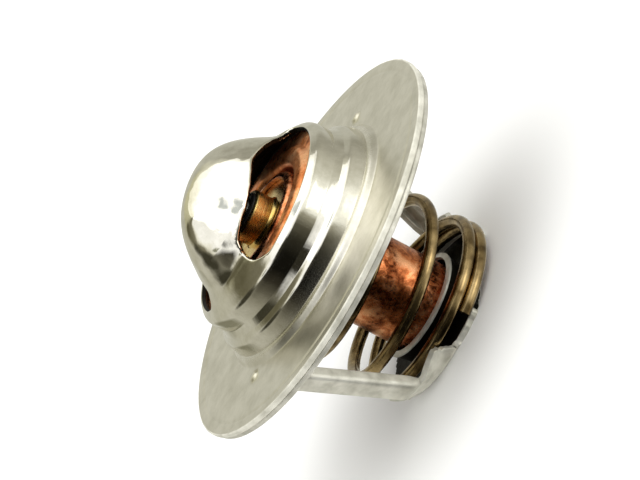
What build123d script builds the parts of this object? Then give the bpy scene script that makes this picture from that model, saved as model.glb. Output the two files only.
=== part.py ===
from build123d import *
import math
import os

# Engine thermostat with a wax element.
# +Z is the valve's axis and points to the bridge, Z 0 is the flange's upper face.
# +X runs through one leg of the cage, so the cage opens towards +Y and -Y.

# Upper pressing: flange, two soft steps and the ring round the valve
sheet = 0.8
flange_radius = 27.0
border_inset = 1.6
border_depth = 0.12
ring_radius = 14.5
foot_outset = 2.7
foot_rise = 0.6
ledge_outset = 1.5
ledge_height = 1.1
ledge_rise = 1.6
step_outset = 0.2
step_height = 3.7
step_rise = 0.7
ring_corner_height = 6.55
lip_inset = 1.6
lip_height = 7.58
web_inset = 4.1
web_height = 9.8
soft_bend = 0.5

# Bridge over the valve
bridge_angle = -20.0
bridge_height = 17.5
crown_half_length = 6.2
crown_drop = 1.6
flank_foot_radius = 10.9
flank_foot_height = 10.0
ridge_half_width = 1.6
ridge_slope = 0.45
wing_start = 3.0
wing_slope = 1.14
bridge_half_width = 7.0
window_corner = 1.6
window_outset = 0.4
window_depth = 1.92

# Half-sheared pips on the flange
pip_angle = -30.0
pip_outset = 1.8
pip_radius = 1.0
pip_height = 0.35

# Return spring
wire_radius = 0.83
wire_sides = 14
coil_inset = 0.87
closed_pitch = 1.7
closed_turns_below = 1.37
closed_turns_above = 1.25
active_turns = 2.85
spring_start_angle = 47.0

# Cage: a flat ring, two channel legs and a dish with a collar
cage_rim_inset = 0.2
cage_ring_width = 1.5
leg_root_inset = 2.35
leg_root_bend = 1.0
leg_reach = 3.82
leg_bend_rise = 3.1
leg_width = 3.4
leg_depth = 1.75
leg_bend = 2.2
lip_reach = 0.55
dish_top = -20.0
dish_half_width = 9.5
dish_bend = 1.2
wing_half_width = 5.2
wing_root_reach = 3.4
wing_root_rise = 2.6
wing_end_inset = 0.6
wing_end_lean = 1.7
wing_end_rise = 3.2
collar_height = 2.8
collar_bend = 0.7

# Wax element
capsule_radius = 6.1
capsule_wall = 0.6
capsule_drop = 0.5
capsule_corner = 1.2
rim_outset = 1.3
lip_outset = 0.2
rim_floor = 4.5
rim_bend = 0.4
guide_flange_thickness = 0.8
guide_top = 9.3
guide_chamfer = 0.4
boot_flange_thickness = 0.6
boot_floor = 1.2
washer_thickness = 0.6
wiper_depth = 1.0
wiper_rise = 0.35
piston_radius = 1.95
piston_bottom = -8.2
piston_tip = 1.0
piston_chamfer = 0.3
piston_crown_gap = 0.06
wiper_wall = 0.95
washer_wall = 1.05
boot_wall = 1.25
neck_wall = 1.45

# Valve disc: shares of the run from the cup's rim to the disc's edge
disc_hub_share = 0.10
disc_land_start = 0.19
disc_land_end = 0.48
disc_seat_start = 0.61
disc_land_top = 7.15
disc_seat_top = 6.5
disc_bend = 0.5
disc_rim_gap = 0.3
disc_bore_gap = 0.12

# Fits
running_gap = 0.05
touch_gap = 0.02
edge_break = 0.15

# Derived places
half_sheet = sheet / 2
foot_radius = ring_radius + foot_outset
ledge_radius = ring_radius + ledge_outset
step_radius = ring_radius + step_outset
ring_middle = ring_radius - half_sheet
lip_radius = ring_radius - lip_inset
web_radius = ring_radius - web_inset
border_radius = flange_radius - border_inset
pip_place_radius = foot_radius + pip_outset
coil_radius = ring_radius - sheet - coil_inset - wire_radius
cage_top = -sheet
cage_flange_radius = flange_radius - cage_rim_inset
cage_ring_bore = flange_radius - cage_rim_inset - cage_ring_width
leg_root_radius = flange_radius - leg_root_inset
leg_bend_radius = coil_radius + wire_radius + leg_reach
leg_bend_height = dish_top + leg_bend_rise
lip_end_radius = coil_radius + wire_radius + lip_reach
dish_floor_radius = coil_radius
floor_middle = dish_top - half_sheet
capsule_bottom = dish_top - capsule_drop
capsule_rim_radius = capsule_radius + rim_outset
capsule_lip_radius = capsule_radius + lip_outset
piston_bore = piston_radius + running_gap
wiper_radius = piston_radius + wiper_wall
washer_radius = piston_radius + washer_wall
boot_radius = piston_radius + boot_wall
guide_neck_radius = piston_radius + neck_wall
collar_bore = capsule_radius + running_gap
boot_bottom = piston_bottom - touch_gap - boot_floor
boot_flange_bottom = rim_floor + capsule_wall
guide_bottom = boot_flange_bottom + boot_flange_thickness
guide_flange_top = guide_bottom + guide_flange_thickness
capsule_rim_top = guide_flange_top + capsule_wall
guide_flange_radius = capsule_rim_radius - capsule_wall - touch_gap


def place(angle, radius, height):
    """Plane at an azimuth, a radius and a height, with its X pointing outwards."""
    c = math.cos(math.radians(angle))
    s = math.sin(math.radians(angle))
    return Plane(origin=(radius * c, radius * s, height), x_dir=(c, s, 0), z_dir=(0, 0, 1))


def revolved(points, radii=0.0):
    """Ring or plug turned about the axis from a closed outline of radius and height."""
    with BuildPart() as turned:
        with BuildSketch(Plane.XZ):
            with BuildLine():
                FilletPolyline(*points, radius=radii, close=True)
            make_face()
        revolve(axis=Axis.Z)
    return turned.part


def sheet_section(points, radii, thickness):
    """Section of a bent sheet, thickened to both sides of its rounded middle line."""
    with BuildSketch() as section:
        for side in (Side.LEFT, Side.RIGHT):
            with BuildLine():
                FilletPolyline(*points, radius=radii)
                offset(amount=thickness / 2, side=side)
            make_face()
    return section.sketch


def turned_sheet(points, radii, thickness):
    """Sheet turned about the axis from its rounded middle line of radius and height."""
    with BuildPart() as turned:
        with BuildSketch(Plane.XZ):
            add(sheet_section(points, radii, thickness))
        revolve(axis=Axis.Z)
    return turned.part


def bridge_roof(inset):
    """Solid under the bridge: a level ridge with sloping wings, set in by the sheet."""
    shoulder_u = crown_half_length - 0.45 * inset
    shoulder_z = bridge_height - crown_drop - 0.9 * inset
    flank_u = flank_foot_radius - 1.1 * inset
    flank_z = flank_foot_height - 0.6 * inset
    foot_u = lip_radius - 0.7 * inset
    foot_z = lip_height + half_sheet - 0.7 * inset
    across = place(bridge_angle + 90, 1, 0).x_dir
    along = place(bridge_angle, 1, 0).x_dir
    ridge = ridge_half_width - 0.2 * inset
    wing = wing_start - 0.4 * inset
    facets = [(ridge, wing, ridge_slope), (wing, ring_radius, wing_slope)]
    with BuildPart() as roof:
        side = Plane(origin=(0, 0, 0), x_dir=along, z_dir=-across)
        with BuildSketch(side) as profile:
            with BuildLine():
                crown = ThreePointArc(
                    (-shoulder_u, shoulder_z), (0, bridge_height - inset), (shoulder_u, shoulder_z)
                )
                Polyline(crown @ 1, (flank_u, flank_z), (foot_u, foot_z), (foot_u, 0), (0, 0))
                Polyline((0, 0), (-foot_u, 0), (-foot_u, foot_z), (-flank_u, flank_z), crown @ 0)
            make_face()
        extrude(amount=ridge, both=True)
        for way in (-1, 1):
            drop = 0
            for start, end, slope in facets:
                facet_plane = Plane(
                    origin=across * (way * start) - Vector(0, 0, drop), x_dir=along, z_dir=-across
                )
                with BuildSketch(facet_plane):
                    add(profile.sketch_local)
                slant = across * way - Vector(0, 0, slope)
                extrude(amount=(end - start) * slant.length, dir=slant)
                drop += (end - start) * slope
    return roof.part


def upper_cylinder(part, radius, floor):
    """What of a part lies inside a radius and above a height."""
    with BuildPart() as trimmed:
        add(part)
        with BuildSketch(Plane.XY.offset(floor)):
            Circle(radius)
        extrude(amount=2 * bridge_height, mode=Mode.INTERSECT)
    return trimmed.part


# Upper pressing: flange, steps, ring and bridge drawn from one sheet, pierced by two windows
window_floor = ring_corner_height - window_depth + half_sheet
web_middle = web_height - half_sheet
under_web = revolved(
    [
        (0, 0),
        (0, web_middle),
        (web_radius, web_middle),
        (lip_radius, lip_height - half_sheet),
        (lip_radius, 0),
    ]
)
pressing_line = [
    (flange_radius, -half_sheet),
    (foot_radius, -half_sheet),
    (foot_radius - foot_rise, ledge_height - foot_rise),
    (ledge_radius, ledge_height - half_sheet),
    (ledge_radius - soft_bend, ledge_height + ledge_rise),
    (step_radius, step_height - half_sheet),
    (ring_middle, step_height + step_rise),
    (ring_middle, ring_corner_height),
    (lip_radius, lip_height),
    (web_radius, web_middle),
]
pressing_bends = [0.5, 0.35, 0.45, 0.6, 0.4, 0.5, 0.9, 1.0]
with BuildPart() as upper_pressing:
    add(turned_sheet(pressing_line, pressing_bends, sheet))
    with BuildSketch(Plane.XZ):
        with Locations((border_radius, 0)):
            Rectangle(2 * border_depth, 2 * border_depth, rotation=45)
    revolve(axis=Axis.Z, mode=Mode.SUBTRACT)
    for angle in (pip_angle, pip_angle + 180):
        with BuildSketch(place(angle, pip_place_radius, -half_sheet)):
            Circle(pip_radius)
        extrude(amount=half_sheet + pip_height, taper=20)
    add(upper_cylinder(bridge_roof(0), lip_radius, lip_height - half_sheet) - under_web)
    add(upper_cylinder(bridge_roof(sheet), lip_radius, window_floor), mode=Mode.SUBTRACT)
    for angle in (bridge_angle + 90, bridge_angle - 90):
        with BuildSketch(place(angle, 0, window_floor)):
            Circle(lip_radius + window_outset)
            with Locations((bridge_half_width - flange_radius / 2, 0)):
                Rectangle(flange_radius, 2 * flange_radius, mode=Mode.SUBTRACT)
            fillet(vertices(), window_corner)
        extrude(amount=bridge_height, mode=Mode.SUBTRACT)

# Cage: one drawn and pierced sheet
leg_path = [
    (leg_root_radius, cage_top - half_sheet),
    (leg_bend_radius, leg_bend_height),
    (dish_floor_radius, floor_middle),
]
with BuildPart() as leg_lips:
    with BuildSketch(Plane.XZ):
        with BuildLine():
            FilletPolyline(*leg_path, radius=leg_bend)
            offset(amount=leg_depth - half_sheet, side=Side.RIGHT)
        make_face()
    revolve(axis=Axis.Z)
    with BuildSketch(Plane.XY.offset(cage_top - 2 * sheet)):
        with GridLocations(0, leg_width - sheet, 1, 2):
            Rectangle(2 * leg_root_radius, sheet)
        Circle(lip_end_radius, mode=Mode.SUBTRACT)
    extrude(amount=2 * dish_top, mode=Mode.INTERSECT)

with BuildPart() as cage_outline:
    with BuildSketch(Plane.XY.offset(cage_top)):
        Circle(flange_radius)
        Circle(cage_ring_bore, mode=Mode.SUBTRACT)
    extrude(amount=-sheet)
    with BuildSketch(Plane.XY.offset(cage_top)):
        Circle(dish_floor_radius)
        Rectangle(2 * dish_floor_radius, 2 * dish_half_width, mode=Mode.INTERSECT)
        Rectangle(2 * flange_radius, leg_width)
    extrude(amount=2 * dish_top)

# Wings: the dish's wall, leaning out beside the leg's foot and steeper at its sheared ends
wing_root_x = dish_floor_radius
wing_end_x = dish_floor_radius * math.cos(math.asin(wing_half_width / dish_floor_radius)) + wing_end_inset
with BuildPart() as wing:
    with BuildSketch(Plane.XZ.offset(half_sheet - leg_width / 2)):
        add(
            sheet_section(
                [
                    (wing_root_x - 2 * dish_bend, floor_middle),
                    (wing_root_x, floor_middle),
                    (wing_root_x + wing_root_reach, floor_middle + wing_root_rise),
                ],
                dish_bend,
                sheet,
            )
        )
    with BuildSketch(Plane.XZ.offset(-wing_half_width)):
        add(
            sheet_section(
                [
                    (wing_end_x - 2 * dish_bend, floor_middle),
                    (wing_end_x, floor_middle),
                    (wing_end_x + wing_end_lean, floor_middle + wing_end_rise),
                ],
                dish_bend,
                sheet,
            )
        )
    loft(ruled=True)

with BuildPart() as cage:
    add(
        turned_sheet(
            [
                (cage_flange_radius, cage_top - half_sheet),
                *leg_path,
                (collar_bore + half_sheet, floor_middle),
                (collar_bore + half_sheet, dish_top + collar_height),
            ],
            [leg_root_bend, leg_bend, dish_bend, collar_bend],
            sheet,
        )
    )
    add(cage_outline.part, mode=Mode.INTERSECT)
    add(leg_lips.part)
    add(wing.part)
    add(mirror(wing.part, about=Plane.XZ))
    add(mirror(wing.part, about=Plane.YZ))
    add(mirror(mirror(wing.part, about=Plane.XZ), about=Plane.YZ))

# Valve disc: hub under the cup's rim, raised land inside the coil, seat rim over it
disc_rim_radius = ring_radius - sheet - disc_rim_gap
disc_reach = disc_rim_radius - capsule_rim_radius
disc_line = [
    (capsule_radius + disc_bore_gap, rim_floor - half_sheet),
    (capsule_rim_radius + disc_hub_share * disc_reach, rim_floor - half_sheet),
    (capsule_rim_radius + disc_land_start * disc_reach, disc_land_top - half_sheet),
    (capsule_rim_radius + disc_land_end * disc_reach, disc_land_top - half_sheet),
    (capsule_rim_radius + disc_seat_start * disc_reach, disc_seat_top - half_sheet),
    (disc_rim_radius, disc_seat_top - half_sheet),
]
with BuildPart() as valve_disc:
    add(turned_sheet(disc_line, disc_bend, sheet))

# Return spring: closed turns at both ends and open turns between
closed_rise_below = closed_turns_below * closed_pitch
closed_rise_above = closed_turns_above * closed_pitch
spring_bottom = dish_top + wire_radius + touch_gap
spring_top = disc_seat_top - sheet - wire_radius - touch_gap
active_rise = spring_top - spring_bottom - closed_rise_below - closed_rise_above


def turns_of(angle, height, count, rise):
    """Helix about the axis from an azimuth and a height."""
    start = place(angle, 0, height)
    return (start * Helix(pitch=rise / count, height=rise, radius=coil_radius)).edge()


active_angle = spring_start_angle + 360 * closed_turns_below
active_bottom = spring_bottom + closed_rise_below
upper_angle = active_angle + 360 * active_turns
upper_bottom = active_bottom + active_rise
wire_path = Wire(
    [
        turns_of(spring_start_angle, spring_bottom, closed_turns_below, closed_rise_below),
        turns_of(active_angle, active_bottom, active_turns, active_rise),
        turns_of(upper_angle, upper_bottom, closed_turns_above, closed_rise_above),
    ]
)
with BuildPart() as return_spring:
    with BuildSketch(Plane(origin=wire_path @ 0, z_dir=wire_path % 0)):
        RegularPolygon(wire_radius, wire_sides)
    sweep(path=wire_path, is_frenet=True)

# Wax element: cup with a rim rolled over the guide
half_wall = capsule_wall / 2
cup_line = [
    (0, capsule_bottom + half_wall),
    (capsule_radius - half_wall, capsule_bottom + half_wall),
    (capsule_radius - half_wall, rim_floor + half_wall),
    (capsule_rim_radius - half_wall, rim_floor + half_wall),
    (capsule_rim_radius - half_wall, capsule_rim_top - half_wall),
    (capsule_lip_radius, capsule_rim_top - half_wall),
]
with BuildPart() as capsule_cup:
    add(turned_sheet(cup_line, [capsule_corner - half_wall, rim_bend, rim_bend, rim_bend], capsule_wall))

with BuildPart() as wax_charge:
    with BuildSketch(Plane.XY.offset(capsule_bottom + capsule_wall + touch_gap)):
        Circle(capsule_radius - capsule_wall - touch_gap)
    extrude(amount=boot_flange_bottom - capsule_bottom - capsule_wall - 2 * touch_gap)
    fillet(wax_charge.edges().group_by(Axis.Z)[0], capsule_corner - capsule_wall)
    with BuildSketch(Plane.XY.offset(boot_bottom - touch_gap)):
        Circle(boot_radius + touch_gap)
    extrude(amount=-2 * capsule_bottom, mode=Mode.SUBTRACT)

with BuildPart() as rubber_boot:
    with BuildSketch(Plane.XY.offset(boot_flange_bottom)):
        Circle(guide_flange_radius)
    extrude(amount=boot_flange_thickness)
    chamfer(rubber_boot.edges().group_by(Axis.Z)[0], edge_break)
    with BuildSketch(Plane.XY.offset(boot_bottom)):
        Circle(boot_radius)
    extrude(amount=boot_flange_bottom - boot_bottom)
    with BuildSketch(Plane.XY.offset(boot_bottom + boot_floor)):
        Circle(piston_bore)
    extrude(amount=2 * bridge_height, mode=Mode.SUBTRACT)

with BuildPart() as guide:
    with BuildSketch(Plane.XY.offset(guide_bottom)):
        Circle(guide_flange_radius)
    extrude(amount=guide_flange_thickness)
    chamfer(guide.edges().group_by(Axis.Z)[-1], edge_break)
    with BuildSketch(Plane.XY.offset(guide_flange_top)):
        Circle(guide_neck_radius)
    extrude(amount=guide_top - guide_flange_top)
    chamfer(guide.edges().group_by(Axis.Z)[-1], guide_chamfer)
    with BuildSketch(Plane.XY.offset(guide_bottom)):
        Circle(piston_bore)
    extrude(amount=guide_top - guide_bottom, mode=Mode.SUBTRACT)
    with BuildSketch(Plane.XY.offset(guide_bottom)):
        Circle(washer_radius)
    extrude(amount=washer_thickness, mode=Mode.SUBTRACT)
    with BuildSketch(Plane.XY.offset(guide_top - wiper_depth)):
        Circle(wiper_radius)
    extrude(amount=wiper_depth, mode=Mode.SUBTRACT)

with BuildPart() as anti_extrusion_washer:
    with BuildSketch(Plane.XY.offset(guide_bottom)):
        Circle(washer_radius - touch_gap)
        Circle(piston_bore, mode=Mode.SUBTRACT)
    extrude(amount=washer_thickness)

with BuildPart() as piston_wiper:
    with BuildSketch(Plane.XY.offset(guide_top - wiper_depth)):
        Circle(wiper_radius - touch_gap)
        Circle(piston_bore, mode=Mode.SUBTRACT)
    extrude(amount=wiper_depth + wiper_rise)
    fillet(piston_wiper.edges().group_by(Axis.Z)[-1].sort_by(SortBy.RADIUS)[-1], wiper_rise)

with BuildPart() as piston:
    with BuildSketch(Plane.XY.offset(piston_bottom)):
        Circle(piston_radius)
    extrude(amount=bridge_height - sheet - piston_crown_gap - piston_bottom)
    fillet(piston.edges().group_by(Axis.Z)[-1], piston_tip)
    chamfer(piston.edges().group_by(Axis.Z)[0], piston_chamfer)

pieces = {
    "upper_pressing": upper_pressing,
    "cage": cage,
    "valve_disc": valve_disc,
    "return_spring": return_spring,
    "capsule_cup": capsule_cup,
    "wax_charge": wax_charge,
    "rubber_boot": rubber_boot,
    "guide": guide,
    "anti_extrusion_washer": anti_extrusion_washer,
    "piston_wiper": piston_wiper,
    "piston": piston,
}
os.makedirs("parts", exist_ok=True)
for name, piece in pieces.items():
    piece.part.label = name
    export_step(piece.part, f"parts/{name}.step")
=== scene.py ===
"""Engine thermostat in a plain studio: pressed steel, a wax element and its return spring."""

import logging
import math
from collections.abc import Callable, Sequence
from dataclasses import dataclass, field
from enum import Enum
from functools import partial

import bmesh
import bpy
import numpy as np
from mathutils import Matrix, Vector


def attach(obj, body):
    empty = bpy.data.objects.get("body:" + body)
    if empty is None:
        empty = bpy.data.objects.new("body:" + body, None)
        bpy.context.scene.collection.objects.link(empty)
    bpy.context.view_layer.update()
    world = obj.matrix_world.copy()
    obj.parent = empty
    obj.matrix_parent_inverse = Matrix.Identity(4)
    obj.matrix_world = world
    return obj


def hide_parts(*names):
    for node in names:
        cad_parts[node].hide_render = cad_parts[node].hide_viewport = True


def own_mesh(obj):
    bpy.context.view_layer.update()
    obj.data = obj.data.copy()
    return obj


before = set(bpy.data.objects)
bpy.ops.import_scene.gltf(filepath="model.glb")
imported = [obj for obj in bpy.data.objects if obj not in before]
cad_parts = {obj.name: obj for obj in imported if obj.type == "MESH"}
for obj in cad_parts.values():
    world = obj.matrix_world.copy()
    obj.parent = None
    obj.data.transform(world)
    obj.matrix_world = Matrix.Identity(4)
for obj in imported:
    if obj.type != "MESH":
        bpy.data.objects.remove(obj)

log = logging.getLogger("thermostat")

MM = 0.001
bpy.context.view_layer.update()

Points = list[tuple[float, float]]
Field = Callable[[np.ndarray, np.ndarray], np.ndarray]
Adder = Callable[..., bpy.types.Node]
Inputs = dict[str, object]

# A noise texture's values lie mostly between these two.
NOISE_LOW, NOISE_HIGH = 0.3, 0.7


class Body(Enum):
    """Names of the moving groups."""

    FRAME = "frame"
    VALVE = "valve"


def linear(hex_colour: str) -> tuple[float, float, float, float]:
    """Turn an sRGB hex colour into linear light.

    Args:
        hex_colour: Six hex digits, such as "c0c0b8".

    Returns:
        Red, green, blue and alpha, from 0 to 1.
    """
    parts = [int(hex_colour[i:i + 2], 16) / 255 for i in (0, 2, 4)]
    light = [c / 12.92 if c <= 0.04045 else ((c + 0.055) / 1.055) ** 2.4 for c in parts]
    return (light[0], light[1], light[2], 1.0)


def node(
    tree: bpy.types.NodeTree,
    kind: str,
    links: dict | None = None,
    stops: Sequence[tuple[float, str]] = (),
    **settings: object,
) -> bpy.types.Node:
    """Add a node with its settings and links.

    Args:
        tree: The tree that gets the node.
        kind: The node's class name.
        links: Input name or number, to a value, a socket or a node whose first output is meant.
        stops: Positions and hex colours along the node's colour ramp.
        **settings: Properties of the node itself.

    Returns:
        The new node.
    """
    made = tree.nodes.new(kind)
    for key, value in settings.items():
        setattr(made, key, value)
    for key, value in (links or {}).items():
        source = value.outputs[0] if isinstance(value, bpy.types.Node) else value
        if isinstance(source, bpy.types.NodeSocket):
            tree.links.new(source, made.inputs[key])
        else:
            made.inputs[key].default_value = source
    if stops:
        marks = made.color_ramp.elements
        while len(marks) < len(stops):
            marks.new(0.5)
        for mark, (position, colour) in zip(marks, stops):
            mark.position = position
            mark.color = linear(colour)
    return made


@dataclass
class Skin:
    """A surface in millimetres.

    Args:
        points: Places of the vertices, one row each.
        faces: Vertex numbers of each face.
    """

    points: np.ndarray
    faces: list[tuple[int, ...]]

    def triangles(self) -> np.ndarray:
        """Vertex numbers of each triangle, quads split in two."""
        cut = [(f[0], f[k], f[k + 1]) for f in self.faces for k in range(1, len(f) - 1)]
        return np.array(cut, dtype=np.int64)

    def normals(self) -> np.ndarray:
        """Unit normal at each vertex, weighted by area.

        Returns:
            One row for each vertex.
        """
        tri = self.triangles()
        a, b, c = (self.points[tri[:, k]] for k in range(3))
        flat = np.cross(b - a, c - a)
        total = np.zeros_like(self.points)
        for k in range(3):
            np.add.at(total, tri[:, k], flat)
        return total / np.maximum(np.linalg.norm(total, axis=1, keepdims=True), 1e-12)


def smooth_step(value: np.ndarray, low: float, high: float) -> np.ndarray:
    """Rise softly from 0 at low to 1 at high."""
    t = np.clip((value - low) / (high - low), 0.0, 1.0)
    return t * t * (3.0 - 2.0 * t)


def rounded(points: Points, radii: Sequence[float], step: float = 0.35,
            closed: bool = False) -> np.ndarray:
    """Round a line's corners by arcs and divide its straight runs.

    Args:
        points: Corners as radius and height.
        radii: One radius for each corner that is turned, in order.
        step: Longest run between two points.
        closed: True where the line returns to its start.

    Returns:
        The points of the line.
    """
    corners = [Vector(p) for p in points]
    count = len(corners)
    turned = range(count) if closed else range(1, count - 1)
    stops = [] if closed else [corners[0]]
    for radius, i in zip(radii, turned):
        here = corners[i]
        back = (corners[i - 1] - here).normalized()
        ahead = (corners[(i + 1) % count] - here).normalized()
        half = back.angle(ahead) / 2
        reach = radius / math.tan(half) if radius else 0.0
        if not reach:
            stops.append(here)
            continue
        middle = here + (back + ahead).normalized() * (radius / math.sin(half))
        first = here + back * reach - middle
        last = here + ahead * reach - middle
        bends = max(3, round((math.pi - 2 * half) * max(radius, 0.3) / 0.12))
        for k in range(bends + 1):
            share = k / bends
            stops.append(middle + (first * (1 - share) + last * share).normalized() * radius)
    if not closed:
        stops.append(corners[-1])
    else:
        stops.append(stops[0])
    line = [stops[0]]
    for start, end in zip(stops, stops[1:]):
        pieces = max(1, math.ceil((end - start).length / step))
        line.extend(start.lerp(end, (k + 1) / pieces) for k in range(pieces))
    if closed:
        line.pop()
    return np.array([tuple(p) for p in line])


def turned(profile: np.ndarray, count: int = 240, closed: bool = False) -> Skin:
    """Turn a line about the Z axis.

    Args:
        profile: Radius and height of each point.
        count: Steps in the circle.
        closed: True where the line returns to its start.

    Returns:
        The turned surface.
    """
    angles = np.arange(count) * 2 * math.pi / count
    rows = len(profile)
    points = np.zeros((rows, count, 3))
    points[:, :, 0] = profile[:, :1] * np.cos(angles)
    points[:, :, 1] = profile[:, :1] * np.sin(angles)
    points[:, :, 2] = profile[:, 1:]
    faces = []
    for i in range(rows if closed else rows - 1):
        low, high = i * count, ((i + 1) % rows) * count
        for j in range(count):
            k = (j + 1) % count
            faces.append((low + j, low + k, high + k, high + j))
    return Skin(points.reshape(-1, 3), faces)


def trimmed(skin: Skin, keep: Field) -> Skin:
    """Cut a surface along a line in plan.

    Args:
        skin: The surface.
        keep: Function of X and Y that is positive where the surface stays.

    Returns:
        What is left of the surface.
    """
    value = keep(skin.points[:, 0], skin.points[:, 1])
    points = list(skin.points)
    crossings: dict[tuple[int, int], int] = {}

    def cross(a: int, b: int) -> int:
        """Number of the vertex where an edge meets the line.

        Args:
            a: Vertex at one end.
            b: Vertex at the other end.

        Returns:
            The vertex number.
        """
        key = (min(a, b), max(a, b))
        if key not in crossings:
            share = value[a] / (value[a] - value[b])
            crossings[key] = len(points)
            points.append(skin.points[a] * (1 - share) + skin.points[b] * share)
        return crossings[key]

    faces: list[tuple[int, ...]] = []
    for face in skin.faces:
        inside = [value[v] > 0 for v in face]
        if all(inside):
            faces.append(face)
            continue
        if not any(inside):
            continue
        kept: list[int] = []
        for here, after in zip(face, face[1:] + face[:1]):
            if value[here] > 0:
                kept.append(here)
            if (value[here] > 0) != (value[after] > 0):
                kept.append(cross(here, after))
        faces.append(tuple(kept))
    used = sorted({v for face in faces for v in face})
    fresh = {old: new for new, old in enumerate(used)}
    return Skin(np.array([points[v] for v in used]), [tuple(fresh[v] for v in face) for face in faces])


def welded(skin: Skin, reach: float = 1e-4) -> Skin:
    """Join the vertices that lie in one place.

    Args:
        skin: The surface.
        reach: Size of the cells that vertices are joined in.

    Returns:
        The joined surface.
    """
    keys = np.round(skin.points / reach).astype(np.int64)
    _, first, same = np.unique(keys, axis=0, return_index=True, return_inverse=True)
    same = same.reshape(-1)
    faces = []
    for face in skin.faces:
        joined = [int(same[v]) for v in face]
        lean = [v for k, v in enumerate(joined) if v != joined[k - 1]]
        if len(set(lean)) > 2:
            faces.append(tuple(lean))
    return Skin(skin.points[first], faces)


def thickened(skin: Skin, wall: float, edge: float = 0.1) -> Skin:
    """Give a surface a wall, with rounded cut edges.

    Args:
        skin: The middle of the wall.
        wall: The wall's thickness.
        edge: Radius along the cut edges.

    Returns:
        A closed surface.
    """
    skin = welded(skin)
    normals = skin.normals()
    count = len(skin.points)
    upper = skin.points + normals * wall / 2
    lower = skin.points - normals * wall / 2
    faces = list(skin.faces) + [tuple(v + count for v in reversed(face)) for face in skin.faces]
    used: dict[tuple[int, int], int] = {}
    for face in skin.faces:
        for pair in zip(face, face[1:] + face[:1]):
            used[pair] = used.get(pair, 0) + 1
    rim = [pair for pair in used if (pair[1], pair[0]) not in used]
    outward = np.zeros_like(skin.points)
    for a, b in rim:
        along = skin.points[b] - skin.points[a]
        side = np.cross(along, normals[a] + normals[b])
        outward[a] += side
        outward[b] += side
    outward /= np.maximum(np.linalg.norm(outward, axis=1, keepdims=True), 1e-12)
    half = wall / 2
    bend = [math.radians(d) for d in (25, 50, 75, 90)]
    section = [(edge * math.sin(t), half - edge * (1 - math.cos(t))) for t in bend]
    section += [(out, -up) for out, up in reversed(section)]
    ring = sorted({v for pair in rim for v in pair})
    row = {v: k for k, v in enumerate(ring)}
    layers = [upper, lower]
    for out, up in section:
        layers.append(skin.points[ring] + outward[ring] * out + normals[ring] * up)
    first = 2 * count
    for a, b in rim:
        left = [a] + [first + k * len(ring) + row[a] for k in range(len(section))] + [a + count]
        right = [b] + [first + k * len(ring) + row[b] for k in range(len(section))] + [b + count]
        for k in range(len(left) - 1):
            faces.append((right[k], left[k], left[k + 1], right[k + 1]))
    return Skin(np.concatenate(layers), faces)


def together(*skins: Skin) -> Skin:
    """Gather surfaces into one, each still closed in itself.

    Args:
        *skins: The surfaces.

    Returns:
        All of them as one.
    """
    starts = np.cumsum([0] + [len(skin.points) for skin in skins])
    faces = [tuple(v + int(first) for v in face)
             for skin, first in zip(skins, starts) for face in skin.faces]
    return Skin(np.concatenate([skin.points for skin in skins]), faces)


def placed(name: str, skin: Skin, finish: bpy.types.Material, body: Body,
           *nodes: str) -> bpy.types.Object:
    """Make a piece from a surface and let it ride on its body.

    Args:
        name: The piece's name.
        skin: Its surface in millimetres.
        finish: Its material.
        body: The body that carries it.
        *nodes: CAD nodes that it stands for.

    Returns:
        The piece.
    """
    skin = welded(skin)
    mesh = bpy.data.meshes.new(name)
    mesh.from_pydata([tuple(p) for p in skin.points * MM], [], skin.faces)
    work = bmesh.new()
    work.from_mesh(mesh)
    bmesh.ops.recalc_face_normals(work, faces=work.faces)
    work.to_mesh(mesh)
    work.free()
    mesh.polygons.foreach_set("use_smooth", [True] * len(mesh.polygons))
    mesh.materials.append(finish)
    piece = bpy.data.objects.new(name, mesh)
    bpy.context.scene.collection.objects.link(piece)
    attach(piece, body.value)
    if nodes:
        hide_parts(*nodes)
    log.info("%s: %d faces", name, len(mesh.polygons))
    return piece


@dataclass(frozen=True)
class Finish:
    """A finish of one shader, patterned on Object coordinates in millimetres."""

    name: str

    def surface(self, add: Adder, spot: bpy.types.Node) -> Inputs:
        """Make the pattern.

        Args:
            add: Adds a node to the material.
            spot: Object coordinates in millimetres.

        Returns:
            The shader's inputs.
        """
        raise NotImplementedError

    def build(self) -> bpy.types.Material:
        """Make the material.

        Returns:
            The material.
        """
        material = bpy.data.materials.new(self.name)
        material.use_nodes = True
        material.node_tree.nodes.clear()
        add = partial(node, material.node_tree)
        place = add("ShaderNodeTexCoord").outputs["Object"]
        spot = add("ShaderNodeMapping", {"Vector": place, "Scale": (1 / MM, 1 / MM, 1 / MM)})
        paint = add("ShaderNodeBsdfPrincipled", self.surface(add, spot))
        add("ShaderNodeOutputMaterial", {"Surface": paint})
        return material


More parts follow.
